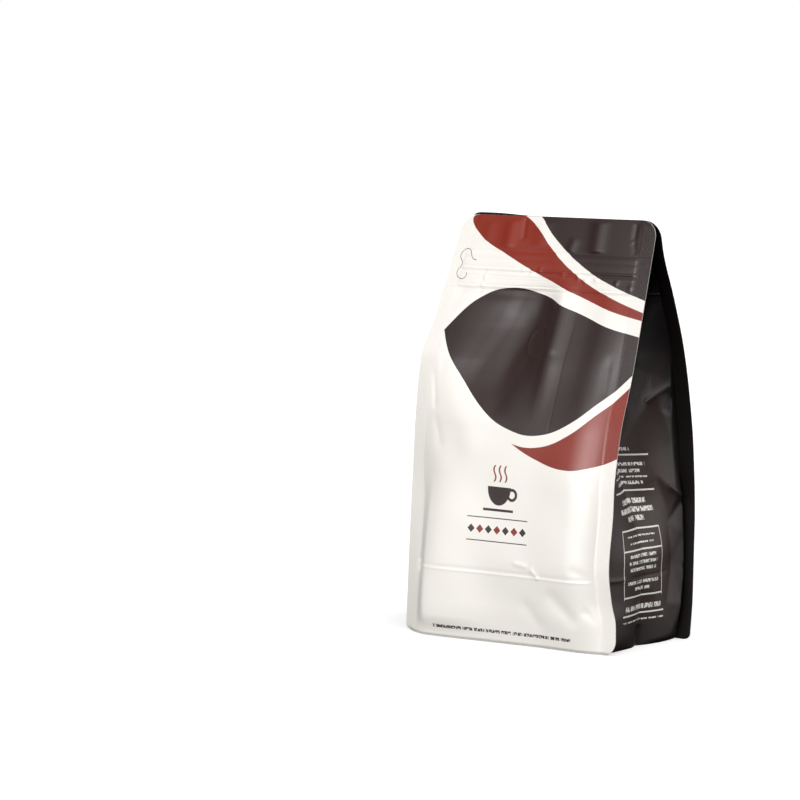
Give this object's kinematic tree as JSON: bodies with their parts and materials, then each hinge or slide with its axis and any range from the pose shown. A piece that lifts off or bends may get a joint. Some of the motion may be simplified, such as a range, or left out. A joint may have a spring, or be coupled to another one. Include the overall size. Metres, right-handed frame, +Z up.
{
  "type": "flat-bottom pouch",
  "caption": "Filled flat-bottom film pouch with side gussets, sealed side fins, press-to-close band, tear tab and vent valve, standing on its base to store dry food.",
  "frame": {"origin": "middle of the box's lowest face, on the surface that the base stands on", "axes": "+Z up from the base to the top edge, -Y out of the front panel, +X to the right of someone facing the front panel"},
  "size_m": [0.135, 0.0878, 0.2178],
  "materials": {
    "film": "soft-touch matte laminate film, warm white with dark brown and rust red print, dark brown side and back panels"
  },
  "bodies": {
    "root": {"pouch": "film"}
  },
  "joints": []
}
